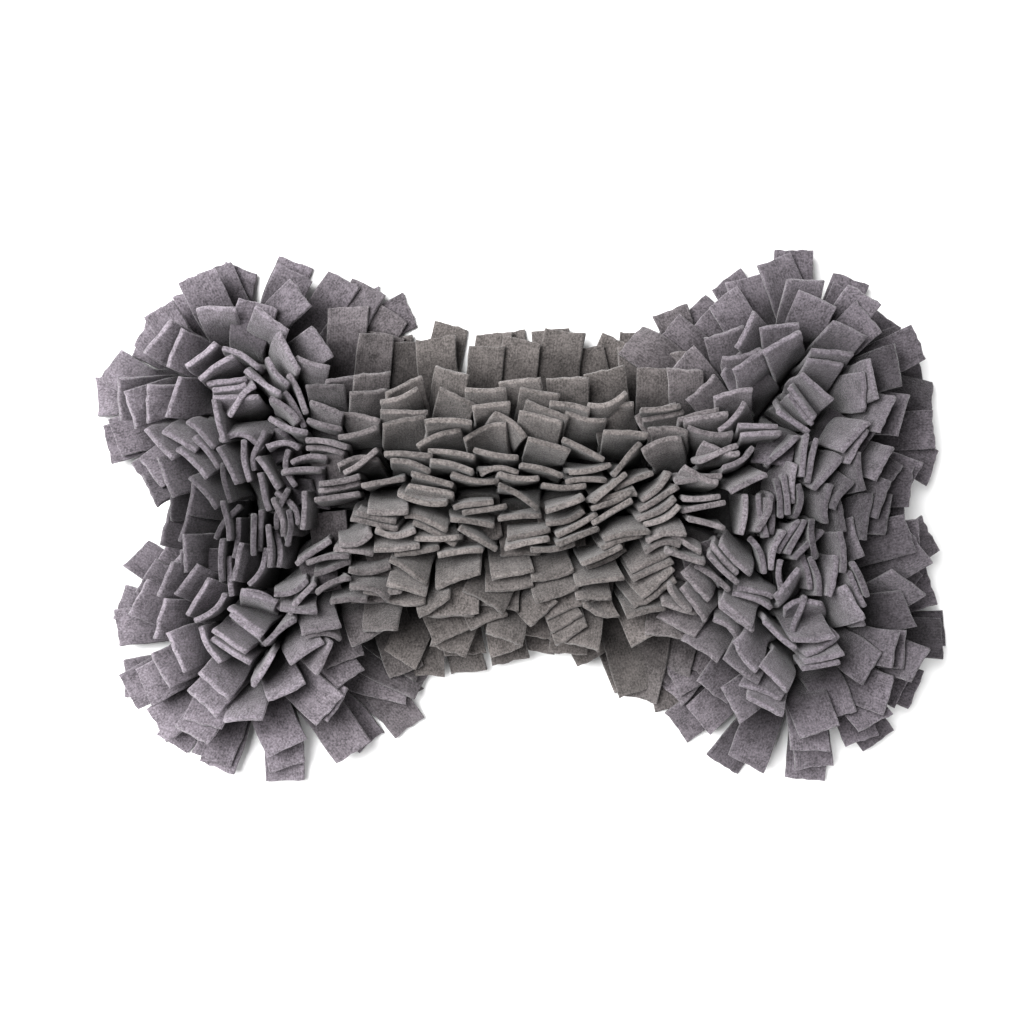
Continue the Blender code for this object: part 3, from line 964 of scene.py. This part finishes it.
def rough_cut(grid):
    """The sides and end of a strip, as scissors leave them: not quite straight."""
    middle = grid.mean(axis=0, keepdims=True)
    knots = dice.normal(0, 1, (2, SNIPS))
    places = np.linspace(0, SNIPS - 1, ALONG)
    wave = np.array([np.interp(places, np.arange(SNIPS), side) for side in knots])
    share = np.linspace(0, 1, ACROSS)[:, None]
    widen = (wave[0][None] * (1 - share) + wave[1][None] * share) * SIDE_WAVE
    grid = middle + (grid - middle) * (1 + widen[..., None])
    slant = dice.normal(0, END_SLANT) * np.linspace(-1, 1, ACROSS) + dice.normal(0, END_RAGGED, ACROSS)
    way = grid[:, -1] - grid[:, -2]
    way /= np.linalg.norm(way, axis=1, keepdims=True)
    fade = np.clip((np.arange(ALONG) - (ALONG - 1 - END_POINTS)) / END_POINTS, 0, 1)
    return grid + way[:, None] * (slant[:, None] * fade[None])[..., None]


spots = np.array([pair.spot for pair in fringe])
facings = np.array([pair.facing for pair in fringe])
spots, facings = part_folds(spots, facings)
for pair, spot, facing in zip(fringe, spots, facings):
    for strip in pair.strips:
        strip["turn"] += pair.facing - facing
    pair.spot = spot
    pair.facing = facing
settled = settle(fringe)
finer_across = finer(GRID_ACROSS, ACROSS)
finer_along = finer(GRID_ALONG, ALONG)


# Colour of each strip. The grey of the fleece differs a little from strip to strip at random and is warmer
# in the middle of the mat,
# and light and shade are painted into it: patches lighter or darker from place to place, darker deep down
# between the strips, where little light gets in, and lighter along the sides and cut ends of each strip.
# Painted shade: tone factors that darken the colour of each strip toward its fold, deep down between the
# strips.
DUSK = (  # share of the way from the fold to the cut end, and the tone there
    (0.0, 0.35, 0.65, 0.85, 1.0),
    (0.16, 0.26, 0.54, 0.92, 1.0),
)
SHADE_SPREAD = 0.10
DARKEST = 0.3
# Painted light and painted shade: patches of the mat whose colour is made lighter where light falls and
# darker where shade falls.
PAINTED_LIGHT_PLACES = (  # where the fleece looks lighter or darker: x, y, reach, lighter by
    (-0.215, 0.105, 0.058, 0.46),
    (-0.200, -0.105, 0.055, 0.46),
    (-0.190, 0.000, 0.044, -0.62),
    (0.202, 0.000, 0.040, -0.64),
    (0.243, 0.085, 0.028, -0.62),
    (0.241, -0.080, 0.028, -0.56),
    (-0.112, 0.060, 0.030, -0.22),
    (-0.112, -0.060, 0.034, -0.40),
    (0.030, -0.045, 0.050, -0.10),
)
WARMTH = np.array((-0.07, -0.06, -0.19))  # added to the colour in the middle of the mat
WARM_HALF_WIDTH = 0.06
WARM_FADE = 0.12
CLOTH_RANGE = 3  # metres of cloth that the strips take their ribs from, each at another place
band_pieces = (rim_bands, second_bands, third_bands, middle_bands, end_bands, tufts)
done = 0
for piece in band_pieces:
    count = piece["pairs"]
    grids = settled[done : done + count]
    grids = np.einsum("ai,bj,psijk->psabk", finer_across, finer_along, grids)
    columns = ACROSS * count
    places = np.zeros((2 * ALONG, columns, 3))
    cloth = np.zeros((2 * ALONG, columns, 2))
    dye_and_painted_light = np.ones((2 * ALONG, columns, 4))
    for number in range(count):
        pair = fringe[done + number]
        these = slice(number * ACROSS, (number + 1) * ACROSS)
        outer = rough_cut(grids[number, 0])
        inner = rough_cut(grids[number, 1])
        places[:ALONG, these] = outer[:, ::-1].transpose(1, 0, 2)
        places[ALONG:, these] = inner.transpose(1, 0, 2)
        corner = dice.uniform(0, CLOTH_RANGE, 2)
        cloth[:, these, 0] = corner[0] + np.linspace(0, STRIP_WIDTH, ACROSS)
        cloth[:, these, 1] = corner[1] + np.linspace(0, 2 * STRIP_LENGTH, 2 * ALONG)[:, None]
        for half, strip in zip((slice(0, ALONG), slice(ALONG, None)), pair.strips):
            lightness = 1 + SHADE_SPREAD * strip["shade"]
            # Painted light and shade by place, added to the strip's own random grey.
            lightness += sum(value * near(pair, place) for *place, value in PAINTED_LIGHT_PLACES)
            lightness = max(lightness, DARKEST)
            warmth = 1 - ease((abs(pair.spot[0]) - WARM_HALF_WIDTH) / WARM_FADE)
            dye_and_painted_light[half, these, :3] = lightness * (1 + warmth * WARMTH)
        # Alpha marks the sides and cut ends of each strip, for the painted highlight there.
        dye_and_painted_light[:, these, 3] = 0
        dye_and_painted_light[:, these.start, 3] = 1
        dye_and_painted_light[:, these.stop - 1, 3] = 1
        dye_and_painted_light[(0, -1), these, 3] = 1
        from_fold = np.abs(np.arange(2 * ALONG) - ALONG + 0.5) / ALONG
        # Painted shade: the colour is darkened toward the fold, where little light gets in.
        dye_and_painted_light[:, these, :3] *= np.interp(from_fold, *DUSK)[:, None, None]
    done += count
    mesh = piece.data
    mesh.vertices.foreach_set("co", places.reshape(-1))
    corners = np.zeros(len(mesh.loops), np.int32)
    mesh.loops.foreach_get("vertex_index", corners)
    layer = mesh.uv_layers.new(name="cloth")
    layer.uv.foreach_set("vector", cloth.reshape(-1, 2)[corners].reshape(-1))
    tone = mesh.color_attributes.new("dye_and_painted_light", "FLOAT_COLOR", "POINT")
    tone.data.foreach_set("color", dye_and_painted_light.reshape(-1))
    mesh.update()
    turned = bmesh.new()
    turned.from_mesh(mesh)
    bmesh.ops.recalc_face_normals(turned, faces=turned.faces)
    turned.to_mesh(mesh)
    turned.free()
    del piece["pairs"]


# Studio: a pale floor, a broad soft light above the mat, a weak one across from it, and even light from
# all round.
floor_mesh = bpy.data.meshes.new("floor")
floor_shape = bmesh.new()
bmesh.ops.create_grid(floor_shape, x_segments=1, y_segments=1, size=6.0)
floor_shape.to_mesh(floor_mesh)
floor_shape.free()
floor_paint = bpy.data.materials.new("floor_paint")
floor_paint.use_nodes = True
floor_shader = floor_paint.node_tree.nodes["Principled BSDF"]
floor_shader.inputs["Base Color"].default_value = (0.90, 0.90, 0.90, 1.0)
floor_shader.inputs["Roughness"].default_value = 0.9
floor_mesh.materials.append(floor_paint)
floor_plane = bpy.data.objects.new("floor", floor_mesh)
bpy.context.scene.collection.objects.link(floor_plane)


def soft_light(name, place, size, power):
    """A square soft light that points at the mat."""
    lamp = bpy.data.lights.new(name, "AREA")
    lamp.shape = "SQUARE"
    lamp.size = size
    lamp.energy = power
    light = bpy.data.objects.new(name, lamp)
    bpy.context.scene.collection.objects.link(light)
    light.location = place
    light.rotation_euler = (-light.location).to_track_quat("-Z", "Y").to_euler()


soft_light("key_light", place=(-1.05, 0.5, 2.0), size=1.6, power=124.0)
soft_light("fill_light", place=(1.5, -1.2, 1.1), size=1.2, power=24.0)
world = bpy.data.worlds.new("studio")
world.use_nodes = True
world.node_tree.nodes["Background"].inputs["Color"].default_value = (1.0, 1.0, 1.0, 1.0)
world.node_tree.nodes["Background"].inputs["Strength"].default_value = 0.35
bpy.context.scene.world = world
bpy.context.scene.view_settings.view_transform = "Standard"
bpy.context.scene.view_settings.gamma = 0.86


# Camera. It looks straight down on the middle of the mat, from as high as an ordinary lens needs to take
# in the whole fringe with the same margins as the picture that the mat is made after.
VIEW_ACROSS = 0.6875
VIEW_MIDDLE = (-0.0109, 0.0027)
VIEW_PLANE = 0.02  # height at which the view is that wide
CAMERA_LENS = 50.0
CAMERA_SENSOR = 36.0
camera_data = bpy.data.cameras.new("camera")
camera_data.lens = CAMERA_LENS
camera_data.sensor_width = CAMERA_SENSOR
camera_data.clip_end = 20.0
camera = bpy.data.objects.new("camera", camera_data)
bpy.context.scene.collection.objects.link(camera)
camera.location = (*VIEW_MIDDLE, VIEW_ACROSS * CAMERA_LENS / CAMERA_SENSOR + VIEW_PLANE)
bpy.context.scene.camera = camera
